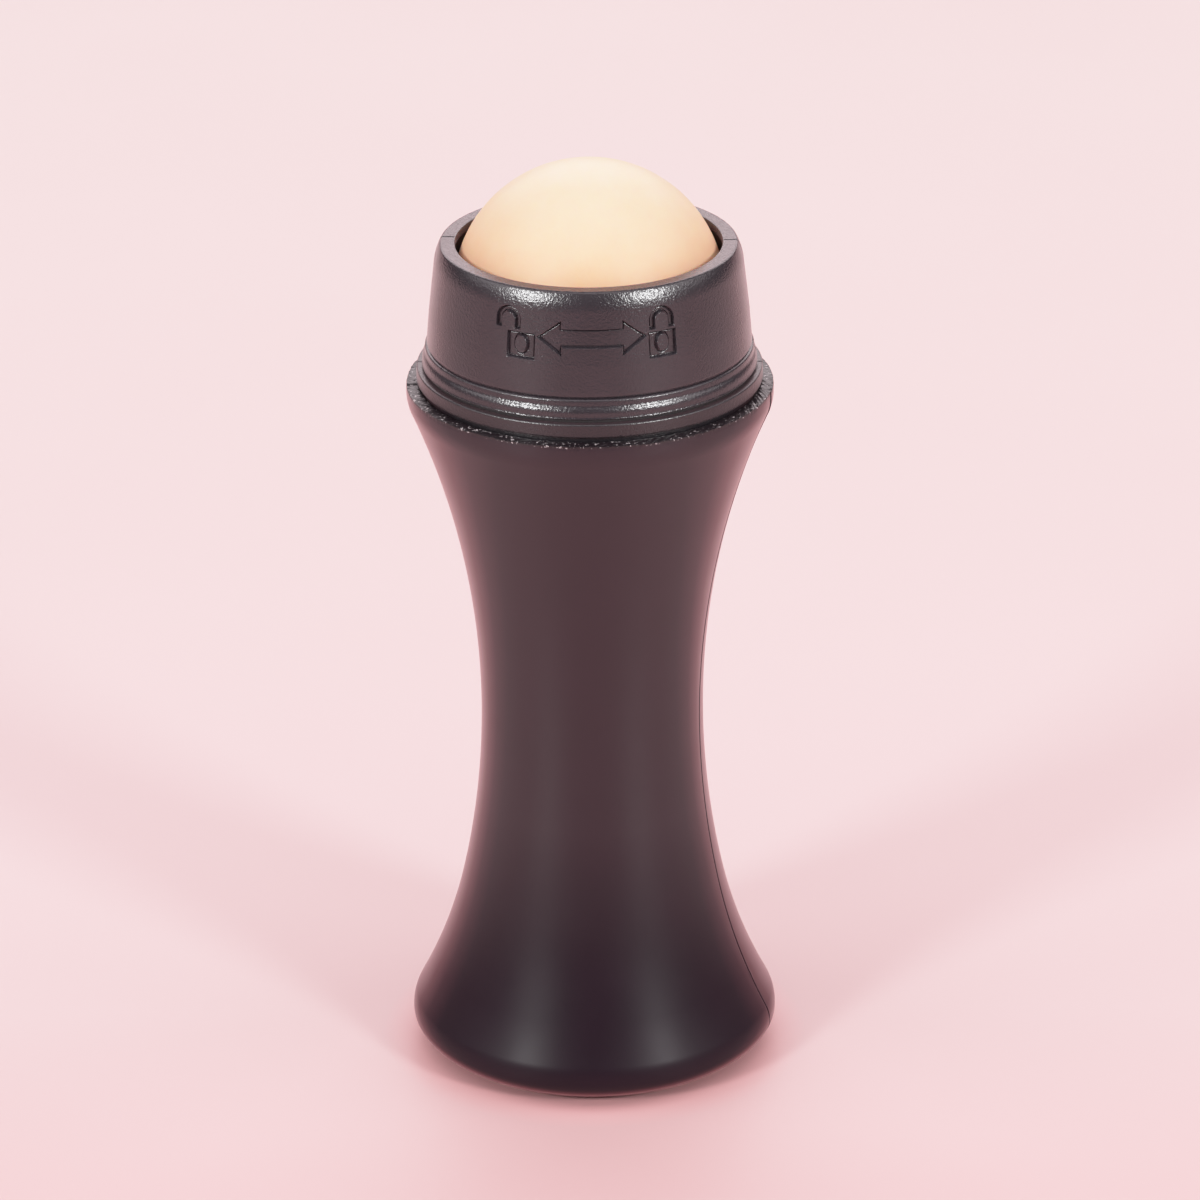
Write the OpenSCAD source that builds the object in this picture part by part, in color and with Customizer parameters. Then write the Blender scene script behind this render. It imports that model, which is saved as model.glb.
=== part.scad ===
// Face roller: a mineral ball that rolls in a cup, held by a twist-lock ring on
// a waisted, hollow handle. Origin: centre of the foot, on the surface it stands on.
// +Z is up, and -Y is the front, where the lock icons are.

/* [Ball] */
// Diameter of the mineral ball
ball_d = 27; // [26.6:0.1:27]
// Height of the ball's centre above the handle's rim
ball_rise = 8.97; // [8.9:0.01:9.1]

/* [Handle] */
// Height of the handle's rim above the floor
handle_h = 72.4; // [68:0.2:80]
// Outer diameter at the rim
rim_d = 36.46; // [36.2:0.02:37.4]
// Outer diameter at the waist
waist_d = 22.5; // [22:0.02:24]
// Height of the waist
waist_z = 37.4; // [36.5:0.1:38.5]
// Height of the upright band below the rim
rim_band = 1.7; // [1:0.05:2]
// Height below which the foot flares out
flare_z = 18.5; // [17:0.5:20]
// Height of the heel's widest point
heel_z = 3.15; // [3:0.05:3.2]
// Radius of the rounded heel above its widest point
heel_round = 3.7; // [3.5:0.1:4]
// Wall thickness at the waist
shell_wall = 1.3; // [1:0.1:1.6]
// Wall thickness at the rim
rim_wall = 1.28; // [1.1:0.02:1.4]

/* [Lock ring] */
// Largest diameter of the bead at the ring's foot
bead_d = 33.24; // [33:0.02:33.4]
// Diameter of the ring's side just above the bead
side_d = 32.2; // [32:0.02:32.4]
// Diameter of the ring's side where the top rounding starts
shoulder_d = 30.6; // [30.4:0.02:30.8]
// Diameter of the lip that keeps the ball in
lip_d = 26.36; // [26.2:0.02:26.4]
// Width of the flat rim round the lip
rim_flat = 1.23; // [1.1:0.01:1.3]
// Angle the ring turns to unlock
unlock_angle = 40; // [30:1:60]
// Depth of the recessed icons
icon_depth = 0.3; // [0.1:0.05:0.4]

/* [Base disc] */
// Diameter of the disc that closes the foot
disc_d = 27.2; // [26:0.1:27.4]
// Thickness of the disc
disc_t = 1.4; // [1:0.1:2]

/* [Hidden] */
$fn = 96;
eps = 0.01;
// Clearances: a running fit, a slip fit and a push fit
run_gap = 0.1;
push_gap = 0.05;

// Ball
ball_r = ball_d / 2;
ball_z = handle_h + ball_rise;

// Handle: an arc from the rim to the waist, a second one below it, and a tighter one
// that flares out to the heel
rim_r = rim_d / 2;
waist_r = waist_d / 2;
upper_rise = handle_h - rim_band - waist_z;
upper_r = (pow(upper_rise, 2) + pow(rim_r - waist_r, 2)) / (2 * (rim_r - waist_r));
upper_x = waist_r + upper_r;
lower_r = 87.5;
lower_x = waist_r + lower_r;
flare_r = 54;
flare_turn = asin((waist_z - flare_z) / lower_r);
flare_x = lower_x - (lower_r - flare_r) * cos(flare_turn);
flare_mid = waist_z - (lower_r - flare_r) * sin(flare_turn);
heel_x = flare_x - sqrt(pow(flare_r + heel_round, 2) - pow(flare_mid - heel_z, 2));
heel_turn = atan2(flare_mid - heel_z, flare_x - heel_x);
heel_r = heel_x + heel_round;
// Below its widest point the heel is part of an ellipse that the floor cuts off
under_reach = 6.9;
under_drop = 3.4;
under_turn = asin(heel_z / under_drop);
mouth_r = rim_r - rim_wall;
mouth_depth = 1.2;
ledge_z = handle_h - mouth_depth;
socket_r = 15.2;
socket_floor = ledge_z - 5.2;
foot_recess = 0.4;
disc_r = disc_d / 2;
disc_top = foot_recess + disc_t;
core_r = disc_r - 0.2;

// Collar: a plug that fills the mouth, and a flange that overhangs the rim
plug_r = mouth_r - 0.2;
flange_r = mouth_r + 0.25;
flange_low = handle_h + 0.45;
flange_top = handle_h + 1.8;
flange_edge = 0.18;
neck_r = 14.95;
neck_in = 13.7;
neck_top = handle_h + 5.5;
web_top = handle_h;
web_in = 11.65;
channel_r = 14.35;
skirt_in = socket_r - 1.3;

// Lock ring
seat_z = handle_h + 2.1;
crease_z = handle_h + 4.07;
shoulder_z = handle_h + 12.2;
top_z = handle_h + 14.52;
lip_r = lip_d / 2;
lip_t = 0.8;
rim_edge = lip_r + rim_flat;
edge_r = 0.35;
round_r = 5;
round_turn = 28;
side_lean = 7.6;
skirt_bore = neck_r + run_gap;
cavity_r = ball_r + 0.5;
liner_r = ball_r + 0.6;
liner_low = ball_z + 1.25;
liner_top = top_z - lip_t;

// Bayonet: each lug runs in a channel that opens upwards at the unlocked end
lugs = 3;
lug_angle = 20;
lug_low = handle_h + 2.9;
lug_h = 1.2;
lug_r = channel_r + run_gap;
turn_gap = 1;

// Cup
cup_r = ball_r + 0.5;
rib_r = ball_r + 0.06;
cup_top = ball_z - 4.87;
cup_floor = ball_z - ball_r - 1.4;
cup_lip_r = neck_in - push_gap;
cup_plug_r = web_in - push_gap;
cup_ribs = 6;
rib_w = 1.2;
drain_r = 1.5;

// Base disc
dish_depth = 0.3;
dish_r = disc_r - 2.4;

// Seal washer
washer_t = 0.25;
washer_r = 16.35;

// Icons: the double arrow's middle, and a padlock at each end of it
icon_z = ball_z + 1.06;
icon_turn = 0.9;
lock_turn = 26;
lock_top = 0.22;
open_shift = -1.43;

// Points along an arc, from angle a to angle b in n steps
function arc(x, z, r, a, b, n) =
    [for (i = [0 : n]) let (t = a + (b - a) * i / n) [x + r * cos(t), z + r * sin(t)]];

// A band of revolution between two radii and two heights
module band(r_in, r_out, low, high) {
    translate([0, 0, low])
        difference() {
            cylinder(r = r_out, h = high - low);
            translate([0, 0, -eps]) cylinder(r = r_in, h = high - low + 2 * eps);
        }
}

// A part-turn block between two radii, centred on an angle
module sector(r_in, r_out, low, high, from, to) {
    rotate([0, 0, from])
        rotate_extrude(angle = to - from)
            translate([r_in, low]) square([r_out - r_in, high - low]);
}

// All points but the first
function rest(points) = [for (i = [1 : len(points) - 1]) points[i]];

// Outline of the handle's outside: flat foot, rounded heel, flare, waist, upright rim
module handle_outline() {
    polygon(concat(
        [[0, 0]],
        [for (i = [0 : 6]) let (t = under_turn * (i / 6 - 1))
            [heel_r - under_reach + under_reach * cos(t), heel_z + under_drop * sin(t)]],
        rest(arc(heel_x, heel_z, heel_round, 0, heel_turn, 5)),
        rest(arc(flare_x, flare_mid, flare_r, 180 + heel_turn, 180 + flare_turn, 10)),
        rest(arc(lower_x, waist_z, lower_r, 180 + flare_turn, 180, 8)),
        rest(arc(upper_x, waist_z, upper_r, 180, 180 - asin(upper_rise / upper_r), 14)),
        [[rim_r, handle_h], [0, handle_h]]
    ));
}

// Outline of the hollow left by the two cores, which meet at the waist
module handle_hollow() {
    foot_reach = acos((flare_x - core_r) / (flare_r + shell_wall));
    top_reach = asin((socket_floor - waist_z) / (upper_r + shell_wall));
    polygon(concat(
        [[0, -eps], [disc_r + push_gap, -eps], [disc_r + push_gap, disc_top], [core_r, disc_top]],
        arc(flare_x, flare_mid, flare_r + shell_wall, 180 + foot_reach, 180 + flare_turn, 4),
        rest(arc(lower_x, waist_z, lower_r + shell_wall, 180 + flare_turn, 180, 8)),
        rest(arc(upper_x, waist_z, upper_r + shell_wall, 180, 180 - top_reach, 12)),
        [[socket_r, socket_floor], [socket_r, ledge_z], [mouth_r, ledge_z],
         [mouth_r, handle_h + eps], [0, handle_h + eps]]
    ));
}

module handle_shell() {
    color("#2b2628")
        rotate_extrude()
            difference() {
                handle_outline();
                handle_hollow();
            }
}

module base_disc() {
    color("#231f21")
        rotate_extrude()
            polygon([
                [0, foot_recess + dish_depth], [dish_r, foot_recess + dish_depth],
                [dish_r + 0.2, foot_recess], [disc_r - 0.2, foot_recess],
                [disc_r, foot_recess + 0.2], [disc_r, disc_top], [0, disc_top]
            ]);
}

// Channel and entry slot of one bayonet lug, cut in the collar's neck
module lug_channel() {
    low = lug_low - run_gap;
    high = lug_low + lug_h + run_gap;
    reach = lug_angle / 2 + turn_gap;
    sector(channel_r, neck_r + 1, low, high, -unlock_angle - reach, reach);
    sector(channel_r, neck_r + 1, low, neck_top + 1, -unlock_angle - reach, -unlock_angle + reach);
}

// The collar's flange, with a rounded top edge
module flange() {
    rotate_extrude()
        polygon(concat(
            [[neck_in, flange_low], [flange_r - 0.1, flange_low], [flange_r, flange_low + 0.1]],
            arc(flange_r - flange_edge, flange_top - flange_edge, flange_edge, 0, 90, 4),
            [[neck_in, flange_top]]
        ));
}

module bayonet_collar() {
    color("#2f2a2c")
        difference() {
            union() {
                band(neck_in, neck_r, web_top, neck_top);
                flange();
                band(neck_in, plug_r, web_top, flange_low);
                band(web_in, plug_r, ledge_z, web_top);
                band(skirt_in, socket_r - push_gap, socket_floor, ledge_z);
            }
            for (i = [0 : lugs - 1])
                rotate([0, 0, 90 + i * 360 / lugs]) lug_channel();
        }
}

module seal_washer() {
    color("#4a4648")
        band(skirt_bore, washer_r, flange_top, flange_top + washer_t);
}

// One rib of the cup, a slice that reaches in from the bowl to just short of the ball
module cup_rib() {
    intersection() {
        translate([drain_r + 1, -rib_w / 2, cup_floor + 0.5])
            cube([cup_lip_r, rib_w, cup_top - cup_floor - 1]);
        difference() {
            translate([0, 0, ball_z]) sphere(r = cup_r + 0.2);
            translate([0, 0, ball_z]) sphere(r = rib_r);
        }
    }
}

module ball_cup() {
    color("#3a3436")
        union() {
            difference() {
                rotate_extrude()
                    polygon([
                        [drain_r, cup_floor], [6, cup_floor], [cup_plug_r, web_top - 2.4],
                        [cup_plug_r, web_top], [cup_lip_r, web_top], [cup_lip_r, cup_top],
                        [drain_r, cup_top]
                    ]);
                translate([0, 0, ball_z]) sphere(r = cup_r);
            }
            for (i = [0 : cup_ribs - 1])
                rotate([0, 0, i * 360 / cup_ribs]) cup_rib();
        }
}

// Outline of the lock ring's outside: bead, crease, tapered side, rounded shoulder.
// An inset moves the side and the shoulder in
module ring_outline(inset) {
    wall_r = bead_d / 2 - 0.05;
    side_r = side_d / 2;
    shoulder_r = shoulder_d / 2;
    swell = 1.1;
    hollow = 0.6;
    lean = 33;
    swell_z = seat_z + 0.5;
    hollow_x = wall_r - swell + (swell + hollow) * cos(lean);
    hollow_z = swell_z + (swell + hollow) * sin(lean);
    round_x = rim_edge - (round_r - edge_r) * cos(round_turn) - inset;
    round_z = top_z - edge_r - (round_r - edge_r) * sin(round_turn);
    polygon(concat(
        [[0, seat_z], [wall_r + 0.02, seat_z], [wall_r + 0.05, seat_z + 0.06], [wall_r, seat_z + 0.2]],
        arc(wall_r - swell, swell_z, swell, 0, lean, 4),
        arc(hollow_x, hollow_z, hollow, 180 + lean - 8, 180, 3),
        [[hollow_x - hollow, crease_z - 0.15], [side_r - 0.15, crease_z - 0.04],
         [side_r - 0.15, crease_z + 0.04], [side_r - inset, crease_z + 0.25],
         [(side_r + shoulder_r) / 2 + 0.12 - inset, (crease_z + shoulder_z) / 2],
         [shoulder_r - inset, shoulder_z]],
        arc(round_x, round_z, round_r, side_lean, round_turn, 5),
        arc(rim_edge - inset, top_z - edge_r, edge_r, round_turn + 15, 90, 4),
        [[0, top_z]]
    ));
}

module arrow() {
    tip = 5.3;
    head = 2.97;
    barb = 1.72;
    shaft = 0.9;
    polygon([
        [tip, 0], [head, barb], [head, shaft], [-head, shaft], [-head, barb],
        [-tip, 0], [-head, -barb], [-head, -shaft], [head, -shaft], [head, -barb]
    ]);
}

// The padlock's body hangs from its top edge; the oval keyhole is left standing in it
module lock_body() {
    body_w = 2.9;
    body_h = 2.55;
    key_w = 0.64;
    key_h = 0.86;
    difference() {
        translate([-body_w / 2, -body_h]) square([body_w, body_h]);
        polygon([for (t = [0 : 15 : 345]) [key_w * cos(t), key_h * sin(t) - 1.13]]);
    }
}

// A half disc on a straight-sided foot
module arch(r, leg) {
    intersection() {
        circle(r = r);
        translate([-r, 0]) square([2 * r, r]);
    }
    translate([-r, -leg]) square([2 * r, leg + eps]);
}

module shackle() {
    outer_r = 1.32;
    bar_w = 0.58;
    leg = 0.83;
    rise = 1.12;
    translate([0, rise])
        difference() {
            arch(outer_r, leg);
            arch(outer_r - bar_w, leg + eps);
        }
}

// The padlock: its shackle stands to one side when it is open
module padlock(shift) {
    lock_body();
    translate([shift, 0]) shackle();
}

// An outline turned to face outwards, at an angle from the front of the ring
module icon_prism(turn, rise) {
    rotate([0, 0, icon_turn + turn])
        translate([0, 0, icon_z + rise])
            rotate([90, 0, 0])
                linear_extrude(rim_r) children();
}

// The double arrow and the two padlocks that it points to
module icon_prisms() {
    icon_prism(0, 0) arrow();
    icon_prism(-lock_turn, lock_top) padlock(open_shift);
    icon_prism(lock_turn, lock_top) padlock(0);
}

module lock_ring() {
    color("#2e282a")
        difference() {
            union() {
                difference() {
                    rotate_extrude() ring_outline(0);
                    translate([0, 0, seat_z - 1]) cylinder(r = skirt_bore, h = neck_top + 0.2 - seat_z + 1);
                    translate([0, 0, seat_z - 1]) cylinder(r = cavity_r, h = liner_top - seat_z + 1);
                    translate([0, 0, liner_low]) cylinder(r = liner_r + push_gap, h = liner_top - liner_low);
                    translate([0, 0, seat_z - 1]) cylinder(r = lip_r, h = top_z - seat_z + 2);
                }
                for (i = [0 : lugs - 1])
                    rotate([0, 0, 90 + i * 360 / lugs])
                        sector(lug_r, skirt_bore + 0.3, lug_low, lug_low + lug_h, -lug_angle / 2, lug_angle / 2);
            }
            intersection() {
                icon_prisms();
                difference() {
                    cylinder(r = rim_r, h = top_z);
                    rotate_extrude() ring_outline(icon_depth);
                }
            }
        }
}

module glide_ring() {
    color("#4a4042")
        difference() {
            translate([0, 0, liner_low + push_gap]) cylinder(r = liner_r, h = liner_top - liner_low - push_gap);
            translate([0, 0, ball_z]) sphere(r = ball_r + 0.25);
            cylinder(r = lip_r + 0.1, h = top_z);
        }
}

module stone_ball() {
    color("#f7dcc0")
        translate([0, 0, ball_z]) sphere(r = ball_r);
}

handle_shell();
base_disc();
bayonet_collar();
seal_washer();
ball_cup();
lock_ring();
glide_ring();
stone_ball();
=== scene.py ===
"""Face roller: a mineral ball in a twist-lock ring on a waisted black handle, on a pale pink table."""

import math

import bpy
import numpy as np
from mathutils import Matrix, Vector, noise


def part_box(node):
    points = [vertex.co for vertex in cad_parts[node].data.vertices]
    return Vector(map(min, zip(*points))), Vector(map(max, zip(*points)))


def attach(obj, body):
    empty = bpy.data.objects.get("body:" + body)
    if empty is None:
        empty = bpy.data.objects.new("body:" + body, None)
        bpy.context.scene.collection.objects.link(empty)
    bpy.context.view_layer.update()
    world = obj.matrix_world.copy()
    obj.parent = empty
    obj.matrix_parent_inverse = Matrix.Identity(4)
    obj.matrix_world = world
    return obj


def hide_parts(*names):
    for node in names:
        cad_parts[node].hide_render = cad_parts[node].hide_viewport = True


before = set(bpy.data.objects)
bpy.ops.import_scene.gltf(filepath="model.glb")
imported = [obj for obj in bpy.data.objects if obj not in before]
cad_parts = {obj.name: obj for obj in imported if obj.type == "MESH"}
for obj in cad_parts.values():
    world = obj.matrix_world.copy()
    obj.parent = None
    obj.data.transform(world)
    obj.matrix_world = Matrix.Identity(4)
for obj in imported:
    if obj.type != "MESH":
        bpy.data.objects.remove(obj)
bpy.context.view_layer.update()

MM = 0.001
SHARP = math.radians(38)


# ---------------------------------------------------------------- dimensions, in mm
def low_corner(node):
    """The lowest corner of a CAD node's box."""
    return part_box(node)[0] / MM


def high_corner(node):
    """The highest corner of a CAD node's box."""
    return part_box(node)[1] / MM


# From the frame
RIM_Z = high_corner("handle_shell").z
HEEL_REACH = high_corner("handle_shell").y
BALL_R = (high_corner("stone_ball").z - low_corner("stone_ball").z) / 2
BALL_Z = (high_corner("stone_ball").z + low_corner("stone_ball").z) / 2
SEAT_Z = low_corner("lock_ring").z
TOP_Z = high_corner("lock_ring").z
BEAD_R = high_corner("lock_ring").x
NECK_TOP = high_corner("bayonet_collar").z
FLANGE_R = high_corner("bayonet_collar").x
DISC_R = high_corner("base_disc").x
DISC_TOP = high_corner("base_disc").z
LINER_R = high_corner("glide_ring").x

FIT = 0.05  # gap between pieces that are fixed together
RUNNING_FIT = 0.1  # gap between pieces that turn in each other

# Handle: arcs above and below the waist, a flare and a rounded heel, then an oval underside
RIM_R = 18.23
RIM_BAND = 1.7  # height of the band at the rim
WAIST_R = 11.25
WAIST_Z = 37.4
LOWER_R = 87.5  # arc below the waist
FLARE_R = 54.0  # arc that spreads to the foot
FLARE_Z = 18.5  # where the flare begins
HEEL = 3.7  # rounding of the heel
HEEL_Z = 3.15  # height of the heel's widest point
UNDER_REACH = 6.9  # half width of the underside's oval
UNDER_DROP = 3.4  # half height of the underside's oval
WALL = 1.3
MOUTH_R = RIM_R - 1.28
LEDGE_Z = RIM_Z - 1.2
SOCKET_R = 15.2
SOCKET_FLOOR = LEDGE_Z - 5.2
CORE_R = DISC_R - 0.2  # opening above the base disc

# Handle's parting lines, one down each side, and its rough trimmed rim
SEAM_LOW = -15.5  # degrees, up to the waist
SEAM_HIGH = -12.0  # degrees, at the rim
SEAM_W = 0.07
NICK_Z = 8.2
NOTCH = math.radians(-176)
TRIM = 0.6  # how far down the rough cut reaches

# Lock ring
CREASE_Z = RIM_Z + 4.07
SHOULDER_Z = RIM_Z + 12.2
SIDE_R = 16.1
SHOULDER_R = 15.3
LIP_R = 13.18
LIP_T = 0.8
RIM_FLAT = 1.23  # width of the flat top
EDGE_R = 0.35
ROUND_R = 5.0  # rounding of the shoulder
ROUND_TURN = 28  # degrees of it, up to the edge
BORE_R = 15.05
CAVITY_R = 14.0
LUG_R = 14.45
LUG_LOW = RIM_Z + 2.9
LUG_H = 1.2
LUG_TURNS = (90, 210, 330)
LUG_HALF = 10
RING_SEAMS = (math.radians(0), math.radians(174))
MARK_W = 0.07  # width of a mould mark

# Icons on the ring's front
ICON_DEPTH = 0.3
ICON_Z = BALL_Z + 1.06
ICON_BELOW = 2.8  # reach of the icons under and over that height
ICON_ABOVE = 3.0
ICON_TURN = 0.9
LOCK_TURN = 26.0  # degrees from the arrow's middle to each padlock
LOCK_RISE = 0.22
OPEN_SHIFT = -1.43  # sideways move of the open padlock's shackle

# Collar
FLANGE_TOP = SEAT_Z - 0.3
FLANGE_LOW = RIM_Z + 0.45
PLUG_R = MOUTH_R - 0.2
NECK_R = BORE_R - RUNNING_FIT
NECK_IN = 13.7
DRAIN_R = 11.65
SKIRT_IN = 13.9
CHANNEL_R = LUG_R - RUNNING_FIT
CHANNEL_LOW = LUG_LOW - RUNNING_FIT
CHANNEL_TOP = LUG_LOW + LUG_H + RUNNING_FIT
UNLOCK = 40  # degrees from locked to unlocked
HALF_SLOT = 11
COLLAR_SEAM = math.radians(-1)


# ---------------------------------------------------------------- mesh building
def arc(x, z, r, start, end, n):
    """Points on an arc from angle start to end, in degrees."""
    turns = np.radians(np.linspace(start, end, n + 1))
    return [(x + r * math.cos(t), z + r * math.sin(t)) for t in turns]


def line(start, end, n):
    """n points from start towards end, without end itself."""
    run, rise = end[0] - start[0], end[1] - start[1]
    return [(start[0] + run * i / n, start[1] + rise * i / n) for i in range(n)]


def turns(step, dense=()):
    """Angles round a full turn at a step, in degrees, with finer stretches (centre, half width, step)."""
    marks = list(np.arange(-180, 180, step))
    for centre, half, fine in dense:
        marks = [a for a in marks if abs((a - centre + 180) % 360 - 180) > half]
        marks += [((centre + t) + 180) % 360 - 180 for t in np.arange(-half, half + fine / 2, fine)]
    return np.radians(np.array(sorted(set(round(float(a), 5) for a in marks))))


def lathe(name, outline, angles, shape=None):
    """A closed outline (r, z) in mm turned about Z. shape(r, z, angle) returns a changed (r, z)."""
    outline = np.array(outline, float)
    rows, cols = len(outline), len(angles)
    r = np.repeat(outline[:, 0][:, None], cols, 1)
    z = np.repeat(outline[:, 1][:, None], cols, 1)
    a = np.repeat(np.array(angles)[None, :], rows, 0)
    if shape:
        r, z = shape(r, z, a)
    co = np.stack([r * np.cos(a), r * np.sin(a), z], -1).reshape(-1, 3) * MM
    i, j = np.meshgrid(np.arange(rows), np.arange(cols), indexing="ij")
    i2, j2 = (i + 1) % rows, (j + 1) % cols
    faces = np.stack([i * cols + j, i * cols + j2, i2 * cols + j2, i2 * cols + j], -1).reshape(-1, 4)
    return new_mesh(name, co, faces)


def new_mesh(name, co, faces):
    """A smooth-shaded object from corner places, in metres, and faces."""
    mesh = bpy.data.meshes.new(name)
    mesh.from_pydata(co.tolist(), [], faces.tolist())
    mesh.validate()
    obj = bpy.data.objects.new(name, mesh)
    bpy.context.scene.collection.objects.link(obj)
    mesh.shade_smooth()
    mesh.set_sharp_from_angle(angle=SHARP)
    return obj


def smooth(x):
    """An eased step from 0 to 1."""
    x = np.clip(x, 0, 1)
    return x * x * (3 - 2 * x)


def hump(x):
    """A bell curve, 1 at x = 0."""
    return np.exp(-(x ** 2))


def turn_from(a, centre):
    """How far angle a is from centre, both in radians, in -pi to pi."""
    return (a - centre + math.pi) % (2 * math.pi) - math.pi


def ripple(x, seed, octaves=4):
    """Smooth repeatable noise in -1 to 1 along one coordinate, as an array."""
    rng = np.random.default_rng(seed)
    cells = 4096
    total, size = np.zeros_like(x), 0
    for k in range(octaves):
        heights = rng.uniform(-1, 1, cells)
        t = x * 2 ** k
        cell = np.floor(t).astype(int)
        f = smooth(t - cell)
        total += (heights[cell % cells] * (1 - f) + heights[(cell + 1) % cells] * f) / 2 ** k
        size += 1 / 2 ** k
    return total / size


# ---------------------------------------------------------------- handle
UPPER_RISE = RIM_Z - RIM_BAND - WAIST_Z
UPPER_R = (UPPER_RISE ** 2 + (RIM_R - WAIST_R) ** 2) / (2 * (RIM_R - WAIST_R))
UPPER_X = WAIST_R + UPPER_R
LOWER_X = WAIST_R + LOWER_R
FLARE_TURN = math.asin((WAIST_Z - FLARE_Z) / LOWER_R)
FLARE_X = LOWER_X - (LOWER_R - FLARE_R) * math.cos(FLARE_TURN)
FLARE_MID = WAIST_Z - (LOWER_R - FLARE_R) * math.sin(FLARE_TURN)
HEEL_X = FLARE_X - math.sqrt((FLARE_R + HEEL) ** 2 - (FLARE_MID - HEEL_Z) ** 2)
HEEL_TURN = math.degrees(math.atan2(FLARE_MID - HEEL_Z, FLARE_X - HEEL_X))
HEEL_R = HEEL_X + HEEL


def waist_line(inset):
    """From the foot's flare to just below the rim band, moved in by inset."""
    flare = 180 + math.degrees(FLARE_TURN)
    if inset:
        start = 180 + math.degrees(math.acos((FLARE_X - CORE_R) / (FLARE_R + inset)))
        end = 180 - math.degrees(math.asin((SOCKET_FLOOR - WAIST_Z) / (UPPER_R + inset)))
    else:
        start = 180 + HEEL_TURN
        end = 180 - math.degrees(math.asin((UPPER_RISE - 0.45) / UPPER_R))
    out = arc(FLARE_X, FLARE_MID, FLARE_R + inset, start, flare, 30)
    out += arc(LOWER_X, WAIST_Z, LOWER_R + inset, flare, 180, 30)[1:]
    return out + arc(UPPER_X, WAIST_Z, UPPER_R + inset, 180, end, 50)[1:]


def handle_outside():
    """From the foot, under and round the heel, up the waist and to the rim."""
    under = math.asin(HEEL_Z / UNDER_DROP)
    out = []
    for t in np.linspace(-under, 0, 19):
        out.append((HEEL_R - UNDER_REACH * (1 - math.cos(t)), HEEL_Z + UNDER_DROP * math.sin(t)))
    out += arc(HEEL_X, HEEL_Z, HEEL, 0, HEEL_TURN, 16)[1:]
    out += waist_line(0)[1:]
    out += [(RIM_R - 0.06, RIM_Z - RIM_BAND + 0.1), (RIM_R, RIM_Z - RIM_BAND + 0.5)]
    return out + line((RIM_R, RIM_Z - 0.55), (RIM_R, RIM_Z - 0.05), 6)


def handle_outline():
    """The outside, the cut rim, the mouth and socket, the hollow inside and the disc's seat."""
    out = handle_outside()
    out += line((RIM_R - 0.02, RIM_Z), (MOUTH_R + 0.02, RIM_Z), 14)
    out += line((MOUTH_R, RIM_Z - 0.04), (MOUTH_R, LEDGE_Z), 6)
    out += [(MOUTH_R, LEDGE_Z), (SOCKET_R, LEDGE_Z), (SOCKET_R, SOCKET_FLOOR)]
    out += waist_line(WALL)[::-1]
    out += [(CORE_R, DISC_TOP), (DISC_R + FIT, DISC_TOP), (DISC_R + FIT, FIT), (DISC_R + 2 * FIT, 0.0)]
    return out


def seam_height(r, z, a):
    """The mould halves meet in a fine groove with a small step, both stronger at the rim, and one nick."""
    near_rim = smooth((z - (RIM_Z - 6)) / 5)
    step = 0.03 + 0.07 * near_rim
    groove = 0.06 + 0.06 * near_rim
    nick = 0.09 * hump((z - NICK_Z) / 0.22)
    lean = np.radians(SEAM_LOW + (SEAM_HIGH - SEAM_LOW) * smooth((z - WAIST_Z) / 32))
    height = np.zeros_like(r)
    for seam, side in ((lean, 1), (lean + math.pi, -1)):
        d = turn_from(a, seam) * r * side
        fade = np.exp(-np.maximum(d, 0) / 3.0) * (np.abs(d) < 15)
        height += step * smooth(d / SEAM_W + 0.5) * fade
        height -= groove * hump((d + 0.05) / SEAM_W)
        height += nick * hump(d / 0.25) * (side > 0)
    return height


def trim_rim(r, z, a):
    """Makes the rim a rough cut, with chips and burrs at its outer edge and one notch."""
    top = np.where(z > RIM_Z - TRIM, smooth((z - (RIM_Z - TRIM)) / 0.5), 0)
    edge = np.clip((r - MOUTH_R) / (RIM_R - MOUTH_R), 0, 1)
    walk = a * RIM_R
    chips = ripple(walk * 1.6, 11) + 0.6 * ripple(walk * 6.0, 12)
    burr = np.maximum(ripple(walk * 2.3, 13) - 0.35, 0) * 0.5
    cut = ripple(walk * 1.3 + 3 * edge, 14) * 0.05 + ripple(walk * 5 + 9 * edge, 15) * 0.05
    notch = 0.14 * hump(turn_from(a, NOTCH) * RIM_R / 0.25)
    z = z + top * (cut - 0.09 * edge * (0.6 + 0.4 * chips) + burr * (edge > 0.85) * 0.35 - 0.04 - notch)
    r = r + top * (edge > 0.9) * (0.03 * chips + burr * 0.15 - 0.03)
    return r, z


def handle_shape(r, z, a):
    """Adds the parting lines and the rough rim, and keeps inside the handle's box."""
    radii, heights = zip(*handle_outside())
    outside = (r > np.interp(z, heights, radii) - 0.3) & (z > 0.3)
    r = r + np.where(outside, seam_height(r, z, a), 0)
    r, z = trim_rim(r, z, a)
    return np.minimum(r, HEEL_REACH), np.minimum(z, RIM_Z)


def make_handle():
    """The handle, with finer steps at its two parting lines."""
    middle = (SEAM_LOW + SEAM_HIGH) / 2
    seam_turns = [(middle + half, 4, 0.08) for half in (0, 180)]
    return lathe("handle_shell_body", handle_outline(), turns(0.3, seam_turns), handle_shape)


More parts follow.
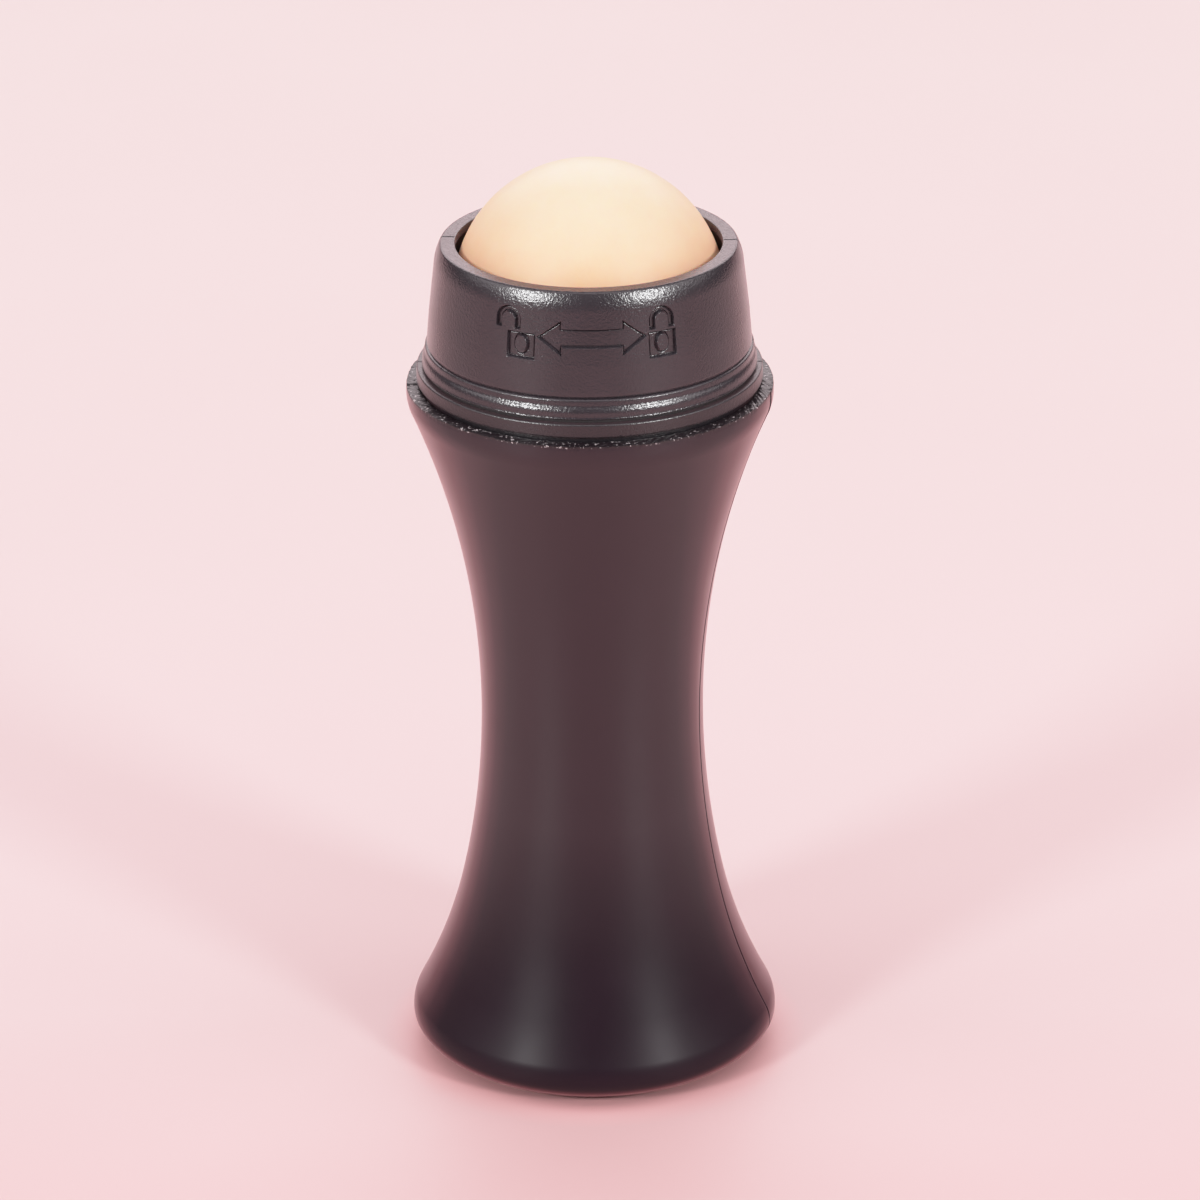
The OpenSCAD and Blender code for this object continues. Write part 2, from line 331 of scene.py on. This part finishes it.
# ---------------------------------------------------------------- lock ring
def ring_outline():
    """From the seat up the bead, crease, tapered side and rounded shoulder, then down the bore."""
    wall = BEAD_R - 0.05
    swell, hollow, lean = 1.1, 0.6, 33
    out = [
        (BORE_R, SEAT_Z), (BEAD_R - 0.1, SEAT_Z), (BEAD_R - 0.03, SEAT_Z + 0.02),
        (BEAD_R, SEAT_Z + 0.06), (BEAD_R - 0.01, SEAT_Z + 0.1), (wall + 0.01, SEAT_Z + 0.16),
        (wall, SEAT_Z + 0.25), (wall, SEAT_Z + 0.4),
    ]
    bead = (wall - swell, SEAT_Z + 0.5)
    out += arc(*bead, swell, 0, lean, 12)
    turn = math.radians(lean)
    reach = swell + hollow
    bead_top = (bead[0] + reach * math.cos(turn), bead[1] + reach * math.sin(turn))
    out += arc(*bead_top, hollow, 180 + lean, 182, 8)[1:]
    band = bead_top[0] - hollow
    out += [
        (band, CREASE_Z - 0.2), (band - 0.03, CREASE_Z - 0.12), (band - 0.12, CREASE_Z - 0.05),
        (SIDE_R - 0.17, CREASE_Z), (SIDE_R - 0.12, CREASE_Z + 0.06), (SIDE_R - 0.04, CREASE_Z + 0.14),
        (SIDE_R, CREASE_Z + 0.28),
    ]
    mid = ((SIDE_R + SHOULDER_R) / 2 + 0.12, (CREASE_Z + SHOULDER_Z) / 2)
    low_z = ICON_Z - 2.6
    low = (mid[0] + (mid[1] - low_z) * 0.05, low_z)
    out += line((SIDE_R, CREASE_Z + 0.4), low, 12)
    rim_edge = LIP_R + RIM_FLAT
    turn = math.radians(ROUND_TURN)
    round_x = rim_edge - (ROUND_R - EDGE_R) * math.cos(turn)
    round_z = TOP_Z - EDGE_R - (ROUND_R - EDGE_R) * math.sin(turn)
    shoulder = arc(round_x, round_z, ROUND_R, 7.6, ROUND_TURN, 40)
    out += line(low, shoulder[0], 124)
    out += shoulder
    out += arc(rim_edge, TOP_Z - EDGE_R, EDGE_R, ROUND_TURN, 90, 12)[1:]
    out += line((rim_edge - 0.1, TOP_Z), (LIP_R + 0.1, TOP_Z), 6)
    liner_end = BALL_Z + 1.25
    out += [
        (LIP_R + 0.1, TOP_Z), (LIP_R + 0.03, TOP_Z - 0.03), (LIP_R, TOP_Z - 0.1),
        (LIP_R, TOP_Z - LIP_T + 0.06), (LIP_R + 0.06, TOP_Z - LIP_T),
        (LINER_R + FIT, TOP_Z - LIP_T), (LINER_R + FIT, liner_end), (CAVITY_R, liner_end),
        (CAVITY_R, NECK_TOP + 0.2), (BORE_R, NECK_TOP + 0.2),
    ]
    lug_top = LUG_LOW + LUG_H
    return out + [(BORE_R, z) for z in (lug_top + 0.01, lug_top, LUG_LOW, LUG_LOW - 0.01)]


def polygon_distance(x, y, points):
    """Signed distance to a closed polygon, negative inside."""
    best = np.full(x.shape, math.inf)
    sign = np.ones(x.shape)
    for (x0, y0), (x1, y1) in zip(points, points[1:] + points[:1]):
        ex, ey = x1 - x0, y1 - y0
        wx, wy = x - x0, y - y0
        t = np.clip((wx * ex + wy * ey) / (ex * ex + ey * ey), 0, 1)
        best = np.minimum(best, np.hypot(wx - t * ex, wy - t * ey))
        above, below = y >= y0, y < y1
        left = ex * wy > ey * wx
        flip = (above & below & left) | (~above & ~below & ~left)
        sign = np.where(flip, -sign, sign)
    return best * sign


def arrow_distance(x, y):
    """A double arrow, the same when it is turned half way round."""
    tip, head, barb, shaft = 5.3, 2.97, 1.72, 0.9
    half = [(tip, 0), (head, barb), (head, shaft), (-head, shaft), (-head, barb)]
    return polygon_distance(x, y, half + [(-px, -py) for px, py in half])


def padlock_distance(x, y, shift):
    """A body with an oval keyhole left standing in it, and a shackle moved sideways by shift."""
    body_w, body_h, key_w, key_h, key_y = 2.9, 2.55, 0.64, 0.86, -1.13
    body = polygon_distance(
        x, y, [(-body_w / 2, -body_h), (body_w / 2, -body_h), (body_w / 2, 0), (-body_w / 2, 0)])
    key = (np.hypot(x / key_w, (y - key_y) / key_h) - 1) * key_w
    body = np.maximum(body, -key)
    outer_r, bar_w, leg, rise = 1.32, 0.58, 0.83, 1.12
    sx, sy = x - shift, y - rise
    mid_r = outer_r - bar_w / 2
    bend = np.abs(np.hypot(sx, sy) - mid_r) - bar_w / 2
    legs = np.maximum(np.abs(np.abs(sx) - mid_r) - bar_w / 2, -sy - leg)
    bar = np.where(sy > 0, bend, legs)
    return np.minimum(body, bar)


def icon_distance(r, z, a):
    """Signed distance, in mm, to the double arrow and its two padlocks on the ring's front."""
    best = np.full(r.shape, math.inf)
    far = 99
    for turn, rise, pick in (
        (0, 0, arrow_distance),
        (-LOCK_TURN, LOCK_RISE, lambda x, y: padlock_distance(x, y, OPEN_SHIFT)),
        (LOCK_TURN, LOCK_RISE, lambda x, y: padlock_distance(x, y, 0)),
    ):
        d = turn_from(a, math.radians(-90 + ICON_TURN + turn))
        near = np.abs(d) < math.radians(30)
        x = np.where(near, r * np.sin(d), far)
        best = np.minimum(best, pick(x, z - ICON_Z - rise))
    return best


def ring_shape(r, z, a):
    """Recesses the icons, adds the bayonet lugs and the mould marks."""
    outside = (r > SHOULDER_R - 0.3) & (z > ICON_Z - ICON_BELOW) & (z < ICON_Z + ICON_ABOVE)
    gap = icon_distance(r, z, a)
    depth = ICON_DEPTH * smooth(0.5 - gap / 0.07) + 0.12 * hump((gap + 0.09) / 0.06)
    r = r - np.where(outside, depth, 0)
    lug = np.zeros(r.shape, bool)
    for turn in LUG_TURNS:
        lug |= np.abs(turn_from(a, math.radians(turn))) < math.radians(LUG_HALF)
    at_lug = (np.abs(r - BORE_R) < 0.01) & (z <= LUG_LOW + LUG_H) & (z >= LUG_LOW)
    r = np.where(lug & at_lug, LUG_R, r)
    skin = (z > SEAT_Z + 0.3) & (r > LIP_R + 0.2) & ((r > SHOULDER_R - 0.9) | (z > TOP_Z - 0.2))
    for seam in RING_SEAMS:
        d = turn_from(a, seam) * r
        cut = 0.09 * hump(d / MARK_W)
        side = skin & (z < TOP_Z - 0.3)
        r = r - np.where(side, cut, 0)
        z = z - np.where(skin & ~side, cut, 0)
    return r, z


def make_ring():
    """The ring, with finer steps at its icons, mould marks and lugs."""
    dense = [(-90, 37, 0.15)]
    dense += [(math.degrees(s), 1.5, 0.1) for s in RING_SEAMS]
    edges = [(turn + side, 0.02, 0.02) for turn in LUG_TURNS for side in (-LUG_HALF, LUG_HALF)]
    return lathe("lock_ring_body", ring_outline(), turns(0.75, dense + edges), ring_shape)


# ---------------------------------------------------------------- collar
def collar_outline():
    """From the plug in the handle's mouth, out round the flange, up the neck and down the inside."""
    top, low = FLANGE_TOP, FLANGE_LOW
    low_edge, top_edge, draft = 0.12, 0.18, 0.04
    out = [(PLUG_R, LEDGE_Z), (PLUG_R, low - 0.05), (PLUG_R + 0.06, low), (FLANGE_R - low_edge, low)]
    out += arc(FLANGE_R - low_edge, low + low_edge, low_edge, -90, 0, 5)[1:]
    out += line((FLANGE_R, low + 0.2), (FLANGE_R - draft, top - 0.22), 4)
    out += arc(FLANGE_R - draft - top_edge, top - top_edge, top_edge, 0, 90, 8)
    out += [(NECK_R + 0.1, top), (NECK_R, top + 0.1)]
    heights = (CHANNEL_LOW - 0.01, CHANNEL_LOW, CHANNEL_TOP, CHANNEL_TOP + 0.01, NECK_TOP)
    out += [(NECK_R, z) for z in heights]
    out += [(NECK_IN, NECK_TOP), (NECK_IN, RIM_Z), (DRAIN_R, RIM_Z), (DRAIN_R, LEDGE_Z)]
    out += [(SKIRT_IN, LEDGE_Z), (SKIRT_IN, SOCKET_FLOOR)]
    return out + [(SOCKET_R - FIT, SOCKET_FLOOR), (SOCKET_R - FIT, LEDGE_Z)]


def collar_shape(r, z, a):
    """Cuts the three bayonet channels and their entry slots, and adds the mould marks."""
    neck = (np.abs(r - NECK_R) < 0.01) & (z >= CHANNEL_LOW)
    cut = np.zeros(r.shape, bool)
    half_run = math.radians(UNLOCK / 2 + HALF_SLOT)
    for turn in LUG_TURNS:
        run = np.abs(turn_from(a, math.radians(turn - UNLOCK / 2))) < half_run
        entry = np.abs(turn_from(a, math.radians(turn - UNLOCK))) < math.radians(HALF_SLOT)
        cut |= (run & (z <= CHANNEL_TOP)) | entry
    r = np.where(neck & cut, CHANNEL_R, r)
    mark = (r > NECK_R + 1.5) & (z > FLANGE_LOW)
    for seam in (COLLAR_SEAM, COLLAR_SEAM + math.pi):
        d = turn_from(a, seam) * r
        dent = 0.07 * hump(d / MARK_W)
        side = mark & (z < FLANGE_TOP - 0.05)
        r = r - np.where(side, dent, 0)
        z = z - np.where(mark & ~side, dent, 0)
    return r, z


def make_collar():
    """The collar, with finer steps at its channels' ends and its mould marks."""
    edges = (-UNLOCK - HALF_SLOT, -UNLOCK + HALF_SLOT, HALF_SLOT)
    dense = [(turn + edge, 0.02, 0.02) for turn in LUG_TURNS for edge in edges]
    dense += [(math.degrees(COLLAR_SEAM) + t, 1.2, 0.1) for t in (0, 180)]
    return lathe("bayonet_collar_body", collar_outline(), turns(0.6, dense), collar_shape)


# ---------------------------------------------------------------- ball
def cube_sphere(name, r, n, relief):
    """A sphere from a cube's six gridded faces. relief(points) gives each point's height in mm."""
    t = np.tan(np.linspace(-math.pi / 4, math.pi / 4, n + 1))
    u, v = np.meshgrid(t, t, indexing="ij")
    w = np.ones_like(u)
    i, j = np.meshgrid(np.arange(n) * (n + 1), np.arange(n), indexing="ij")
    corner = (i + j).reshape(-1, 1)
    quads = np.hstack([corner, corner + n + 1, corner + n + 2, corner + 1])
    sides = ((u, v, w), (v, u, -w), (w, u, v), (-w, v, u), (v, w, u), (u, -w, v))
    faces = np.concatenate([quads + k * (n + 1) ** 2 for k in range(6)])
    co = np.concatenate([np.stack(side, -1).reshape(-1, 3) for side in sides])
    co /= np.linalg.norm(co, axis=1)[:, None]
    co, joined = np.unique(co.round(9), axis=0, return_inverse=True)
    co = co * (r + relief(co))[:, None] + (0, 0, BALL_Z)
    return new_mesh(name, co * MM, joined.reshape(-1)[faces])


def stone_relief(points):
    """Slight waviness and shallow pores, in mm, never above the nominal ball."""
    wave_h, grain_h, pore_h = 0.010, 0.006, 0.030
    heights = np.zeros(len(points))
    for i, point in enumerate(points):
        at = Vector(point)
        wave = noise.noise(at * 6.0) * wave_h
        grain = noise.noise(at * 38.0) * grain_h
        cell = noise.voronoi(at * 26.0)[0][0]
        pore = -pore_h * max(0.0, 1 - cell / 0.16) if noise.noise(at * 9.0) > 0.1 else 0.0
        heights[i] = wave + grain + pore - (wave_h + grain_h)
    return heights


def make_ball():
    """The ball."""
    return cube_sphere("stone_ball_body", BALL_R, 160, stone_relief)


# ---------------------------------------------------------------- materials
def nodes_of(name):
    """A new material, its node tree, its shader and the piece's own coordinates."""
    mat = bpy.data.materials.new(name)
    mat.use_nodes = True
    tree = mat.node_tree
    shader = tree.nodes["Principled BSDF"]
    coord = tree.nodes.new("ShaderNodeTexCoord")
    return mat, tree, shader, coord.outputs["Object"]


def add_noise(tree, source, size, detail=3.0, rough=0.5):
    """Noise with features of a size in mm."""
    n = tree.nodes.new("ShaderNodeTexNoise")
    n.inputs["Scale"].default_value = 1 / (size * MM)
    n.inputs["Detail"].default_value = detail
    n.inputs["Roughness"].default_value = rough
    tree.links.new(source, n.inputs["Vector"])
    return n.outputs["Fac"]


def ramp(tree, source, stops):
    """Colours at positions from 0 to 1, blended by a source value."""
    r = tree.nodes.new("ShaderNodeValToRGB")
    while len(r.color_ramp.elements) < len(stops):
        r.color_ramp.elements.new(0.5)
    for e, (pos, colour) in zip(r.color_ramp.elements, stops):
        e.position = pos
        e.color = (*colour, 1)
    tree.links.new(source, r.inputs["Fac"])
    return r.outputs["Color"]


def bump(tree, shader, height, strength, distance, before=None):
    """Relief of a depth in mm on the shader, over an earlier bump if there is one."""
    b = tree.nodes.new("ShaderNodeBump")
    b.inputs["Strength"].default_value = strength
    b.inputs["Distance"].default_value = distance * MM
    tree.links.new(height, b.inputs["Height"])
    if before:
        tree.links.new(before, b.inputs["Normal"])
    tree.links.new(b.outputs["Normal"], shader.inputs["Normal"])
    return b.outputs["Normal"]


def plastic(name, base, rough, grain, strength, painted_reflection=0.0):
    """Moulded plastic: near-black colour that varies a little, a fine grain and a painted pink reflection
    at glancing edges.
    """
    mat, tree, shader, at = nodes_of(name)
    low = [c * 0.92 for c in base]
    high = [c * 1.08 for c in base]
    colour = ramp(tree, add_noise(tree, at, 8.0, 3), [(0.3, low), (0.7, high)])
    vary = ramp(tree, add_noise(tree, at, 5.0, 3), [(0.3, [rough - 0.02] * 3), (0.7, [rough + 0.02] * 3)])
    tree.links.new(vary, shader.inputs["Roughness"])
    shader.inputs["IOR"].default_value = 1.65
    bump(tree, shader, add_noise(tree, at, grain, 2), strength, grain * 0.25)
    paint_edge_reflection(tree, shader, colour, painted_reflection)
    return mat


def paint_edge_reflection(tree, shader, colour, amount):
    """Painted reflection: lightens the colour towards pink at a glancing angle, for the pink surroundings'
    reflection.
    """
    edge = tree.nodes.new("ShaderNodeLayerWeight")
    edge.inputs["Blend"].default_value = 0.5
    painted_reflection = ((0.42, (0, 0, 0)), (0.55, (0.025, 0.006, 0.008)), (0.68, (0.11, 0.040, 0.044)),
            (0.86, (0.32, 0.18, 0.19)), (1.0, (0.50, 0.32, 0.33)))
    added = ramp(tree, edge.outputs["Facing"], [(at, [c * amount for c in shade]) for at, shade in painted_reflection])
    tree.links.new(mix(tree, 1, colour, added, "ADD"), shader.inputs["Base Color"])


def fade(tree, length, start, end, at_start, at_end):
    """A value that goes from at_start to at_end as a length goes from start to end, in mm."""
    node = tree.nodes.new("ShaderNodeMapRange")
    tree.links.new(length, node.inputs["Value"])
    node.inputs["From Min"].default_value = start * MM
    node.inputs["From Max"].default_value = end * MM
    node.inputs["To Min"].default_value = at_start
    node.inputs["To Max"].default_value = at_end
    return node.outputs["Result"]


def by_position(tree, source, axis, start, end, at_start=0.0, at_end=1.0):
    """A fade along an axis."""
    split = tree.nodes.new("ShaderNodeSeparateXYZ")
    tree.links.new(source, split.inputs[0])
    return fade(tree, split.outputs[axis], start, end, at_start, at_end)


def by_distance(tree, source, start, end, at_start=0.0, at_end=1.0):
    """A fade outwards from the origin."""
    apart = tree.nodes.new("ShaderNodeVectorMath")
    apart.operation = "LENGTH"
    tree.links.new(source, apart.inputs[0])
    return fade(tree, apart.outputs["Value"], start, end, at_start, at_end)


def mix(tree, factor, first, second, blend="MIX"):
    """Two colours blended by a factor, which is a number or another node's output."""
    node = tree.nodes.new("ShaderNodeMixRGB")
    node.blend_type = blend
    if isinstance(factor, (int, float)):
        node.inputs[0].default_value = factor
    else:
        tree.links.new(factor, node.inputs[0])
    tree.links.new(first, node.inputs[1])
    tree.links.new(second, node.inputs[2])
    return node.outputs[0]


def handle_plastic():
    """Plastic that is rubbed dull towards the foot, with a torn, fleck-strewn cut at the rim."""
    # 0.9 is a strong painted pink reflection at glancing edges.
    mat = plastic("handle_black", (0.013, 0.005, 0.011), 0.36, 0.12, 0.12, 0.9)
    tree = mat.node_tree
    shader = tree.nodes["Principled BSDF"]
    at = tree.nodes["Texture Coordinate"].outputs["Object"]
    foot, stem = 9, 28
    tree.links.new(by_position(tree, at, "Z", foot, stem, 0.17, 0.5), shader.inputs["Specular IOR Level"])
    moulded = shader.inputs["Roughness"].links[0].from_socket
    rubbed = by_position(tree, at, "Z", foot, stem, 0.06, 0.0)
    tree.links.new(mix(tree, 1, moulded, rubbed, "ADD"), shader.inputs["Roughness"])
    crumbs = [(0.60, (0.012, 0.007, 0.010)), (0.66, (0.5, 0.46, 0.47))]
    flecks = ramp(tree, add_noise(tree, at, 0.35, 4, 0.6), crumbs)
    cut = by_position(tree, at, "Z", RIM_Z - 0.32, RIM_Z - 0.22)
    plain = shader.inputs["Base Color"].links[0].from_socket
    tree.links.new(mix(tree, cut, plain, flecks), shader.inputs["Base Color"])
    return mat


def leather(name, base, rough, size):
    """Spark-eroded mould texture: tiny uneven domes that glint one by one."""
    mat, tree, shader, at = nodes_of(name)
    low = [c * 0.9 for c in base]
    high = [c * 1.1 for c in base]
    colour = ramp(tree, add_noise(tree, at, 4.0, 3), [(0.3, low), (0.7, high)])
    # Painted pink reflection at glancing edges.
    paint_edge_reflection(tree, shader, colour, 0.4)
    shader.inputs["Sheen Weight"].default_value = 0.25
    shader.inputs["Sheen Roughness"].default_value = 0.3
    shader.inputs["Roughness"].default_value = rough
    shader.inputs["IOR"].default_value = 1.65
    cells = tree.nodes.new("ShaderNodeTexVoronoi")
    cells.feature = "SMOOTH_F1"
    cells.inputs["Scale"].default_value = 1 / (size * MM)
    tree.links.new(at, cells.inputs["Vector"])
    domes = bump(tree, shader, cells.outputs["Distance"], 0.65, size * 0.2)
    bump(tree, shader, add_noise(tree, at, size * 1.7, 3), 0.65, size * 0.35, domes)
    return mat


def stone(name):
    """Fine-grained cream mineral, faintly mottled, with painted warm shade and bounce light, deeper orange
    low by the ring, set by height in the world so it stays by the ring as it rolls.
    """
    mat, tree, shader, at = nodes_of(name)
    cloud = ramp(tree, add_noise(tree, at, 3.0, 6, 0.62), [(0.3, (0.98, 0.95, 0.93)), (0.7, (1, 1, 1))])
    place = tree.nodes.new("ShaderNodeNewGeometry").outputs["Position"]
    # Painted shade: deeper orange towards the bottom, by height in the world.
    painted_shade_stops = [(0.0, (0.93, 0.545, 0.345)), (0.35, (0.95, 0.645, 0.44)), (1.0, (0.96, 0.73, 0.535))]
    painted_warm_shade = ramp(tree, by_position(tree, place, "Z", TOP_Z - 0.5, BALL_Z + BALL_R), painted_shade_stops)
    tree.links.new(mix(tree, 1, painted_warm_shade, cloud, "MULTIPLY"), shader.inputs["Base Color"])
    shader.inputs["Roughness"].default_value = 0.5
    shader.inputs["IOR"].default_value = 1.6
    shader.inputs["Subsurface Weight"].default_value = 0.4
    shader.inputs["Subsurface Radius"].default_value = (1.0, 0.4, 0.2)
    shader.inputs["Subsurface Scale"].default_value = 2 * MM
    bump(tree, shader, add_noise(tree, at, 0.25, 3), 0.25, 0.03)
    return mat


def wear(obj, mat):
    """Gives an object one material."""
    obj.data.materials.clear()
    obj.data.materials.append(mat)


# ---------------------------------------------------------------- the object
mat_handle = handle_plastic()
mat_ring = leather("ring_black", (0.027, 0.022, 0.028), 0.26, 0.16)
mat_collar = leather("collar_black", (0.018, 0.014, 0.018), 0.3, 0.16)
mat_liner = plastic("liner_black", (0.020, 0.015, 0.016), 0.35, 0.3, 0.2)
mat_cup = plastic("cup_black", (0.018, 0.014, 0.015), 0.38, 0.3, 0.2)
mat_disc = plastic("disc_black", (0.015, 0.012, 0.013), 0.5, 0.25, 0.4)
mat_washer = plastic("washer_rubber", (0.03, 0.025, 0.027), 0.65, 0.15, 0.5)
mat_ball = stone("ball_stone")

pieces = {}
for build, mat, body, node, slot in (
    (make_handle, mat_handle, "handle", "handle_shell", "handle_plastic"),
    (make_ring, mat_ring, "ring", "lock_ring", "ring_plastic"),
    (make_collar, mat_collar, "handle", "bayonet_collar", "collar_plastic"),
    (make_ball, mat_ball, "ball", "stone_ball", "ball_stone"),
):
    piece = build()
    wear(piece, mat)
    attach(piece, body)
    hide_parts(node)
    pieces[node] = piece

for node, mat in (
    ("seal_washer", mat_washer),
    ("ball_cup", mat_cup),
    ("glide_ring", mat_liner),
    ("base_disc", mat_disc),
):
    wear(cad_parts[node], mat)
    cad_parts[node].data.shade_smooth()
    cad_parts[node].data.set_sharp_from_angle(angle=math.radians(30))


# ---------------------------------------------------------------- stage, light, camera
def make_table():
    """A wide pale pink table, with painted light on it: paler towards the back, and a painted pink contact
    shade close to the foot, for light that spreads through the table there.
    """
    half = 5.0
    co = np.array([(-half, -half, 0), (half, -half, 0), (half, half, 0), (-half, half, 0)])
    obj = new_mesh("table", co, np.array([(0, 1, 2, 3)]))
    mat, tree, shader, at = nodes_of("table_pink")
    # Painted light: the table paler towards the back, where it catches more sheen, and deeper pink towards
    # the front.
    painted_depth_light = [
        (0.06, (0.80, 0.495, 0.50)), (0.16, (0.835, 0.57, 0.575)), (0.30, (0.835, 0.58, 0.585)),
        (0.47, (0.84, 0.60, 0.60)), (0.95, (0.86, 0.645, 0.635)),
    ]
    painted_floor = ramp(tree, by_position(tree, at, "Y", -60, 340), painted_depth_light)
    # Painted contact shade: a deeper pink close to the foot, for light spreading through the table into
    # the foot's shadow.
    painted_contact_shade = tree.nodes.new("ShaderNodeRGB").outputs[0]
    painted_contact_shade.default_value = (1.0, 0.52, 0.53, 1)
    near_foot = by_distance(tree, at, 16.5, 22, 1, 0)
    painted_floor = mix(tree, near_foot, painted_floor, painted_contact_shade)
    grain = ramp(tree, add_noise(tree, at, 90.0, 2), [(0.35, (0.985, 0.98, 0.98)), (0.65, (1, 1, 1))])
    tree.links.new(mix(tree, 1, painted_floor, grain, "MULTIPLY"), shader.inputs["Base Color"])
    shader.inputs["Roughness"].default_value = 0.5
    wear(obj, mat)


def lamp(name, azimuth, elevation, distance, size, radiance, colour=(1, 1, 1)):
    """A square-on panel light facing the roller. Azimuth is from the front, towards +X."""
    data = bpy.data.lights.new(name, "AREA")
    data.shape = "RECTANGLE"
    data.size, data.size_y = size
    data.energy = radiance * math.pi * size[0] * size[1]
    data.color = colour
    turn, rise = math.radians(azimuth), math.radians(elevation)
    aim = Vector((math.sin(turn) * math.cos(rise), -math.cos(turn) * math.cos(rise), math.sin(rise)))
    obj = bpy.data.objects.new(name, data)
    obj.location = aim * distance + Vector((0, 0, 0.05))
    obj.rotation_euler = aim.to_track_quat("Z", "Y").to_euler()
    obj.visible_camera = False
    bpy.context.scene.collection.objects.link(obj)
    return obj


def make_light(shiny):
    """Two flashes, soft panels all round, and glints that only the shiny pieces' surfaces show."""
    lamp("flash_left", -45, 25, 1.15, (0.2, 0.2), 46)
    lamp("flash_right", 45, 25, 1.15, (0.2, 0.2), 45)
    lamp("overhead", 0, 76, 1.1, (1.4, 1.1), 1.4, (1, 0.9, 0.92))
    lamp("back_panel", 180, 30, 1.3, (1.8, 0.9), 2.4, (1, 0.86, 0.89))
    lamp("side_left", -85, 35, 1.2, (0.8, 0.8), 1.7, (1, 0.92, 0.94))
    lamp("side_right", 85, 35, 1.2, (0.8, 0.8), 1.7, (1, 0.92, 0.94))
    sparkling = bpy.data.collections.new("sparkling")
    for piece in shiny:
        sparkling.objects.link(piece)
    for side in (-45, 45):
        glint = lamp("glint", side, 25, 1.15, (0.3, 0.3), 31)
        glint.visible_diffuse = False
        glint.light_linking.receiver_collection = sparkling
    world = bpy.data.worlds.new("studio")
    bpy.context.scene.world = world
    world.use_nodes = True
    world.node_tree.nodes["Background"].inputs["Color"].default_value = (0.9, 0.85, 0.87, 1)
    world.node_tree.nodes["Background"].inputs["Strength"].default_value = 0.10


def make_camera():
    """A long lens that looks down at the roller, a hair off level."""
    yaw, pitch, roll = (math.radians(t) for t in (0.0915, 23.36, -0.399))
    place = Vector((0, -540.1, 281.7)) * MM
    ahead = Vector((math.sin(yaw) * math.cos(pitch), math.cos(yaw) * math.cos(pitch), -math.sin(pitch)))
    right = ahead.cross(Vector((0, 0, 1))).normalized()
    up = right.cross(ahead)
    tilted_right = right * math.cos(roll) + up * math.sin(roll)
    tilted_up = up * math.cos(roll) - right * math.sin(roll)
    turn = Matrix((tilted_right, tilted_up, -ahead)).transposed()
    data = bpy.data.cameras.new("camera")
    data.sensor_width = 36
    data.lens = 174.9
    data.clip_start = 0.01
    obj = bpy.data.objects.new("camera", data)
    obj.matrix_world = Matrix.Translation(place) @ turn.to_4x4()
    bpy.context.scene.collection.objects.link(obj)
    bpy.context.scene.camera = obj


def make_tones():
    """Plain display colours with a soft shoulder in the highlights, like a camera's."""
    view = bpy.context.scene.view_settings
    view.view_transform = "Standard"
    view.use_curve_mapping = True
    white = 1.6
    view.curve_mapping.white_level = (white, white, white)
    curve = view.curve_mapping.curves[3]
    curve.points[0].location = (0, 0)
    curve.points[1].location = (1, 1)
    for level, shown in ((0.35, 0.35), (0.7, 0.69), (0.85, 0.80), (1.0, 0.875), (1.25, 0.955)):
        curve.points.new(level / white, shown)
    view.curve_mapping.update()


make_table()
make_light([pieces["lock_ring"], pieces["bayonet_collar"]])
make_camera()
make_tones()
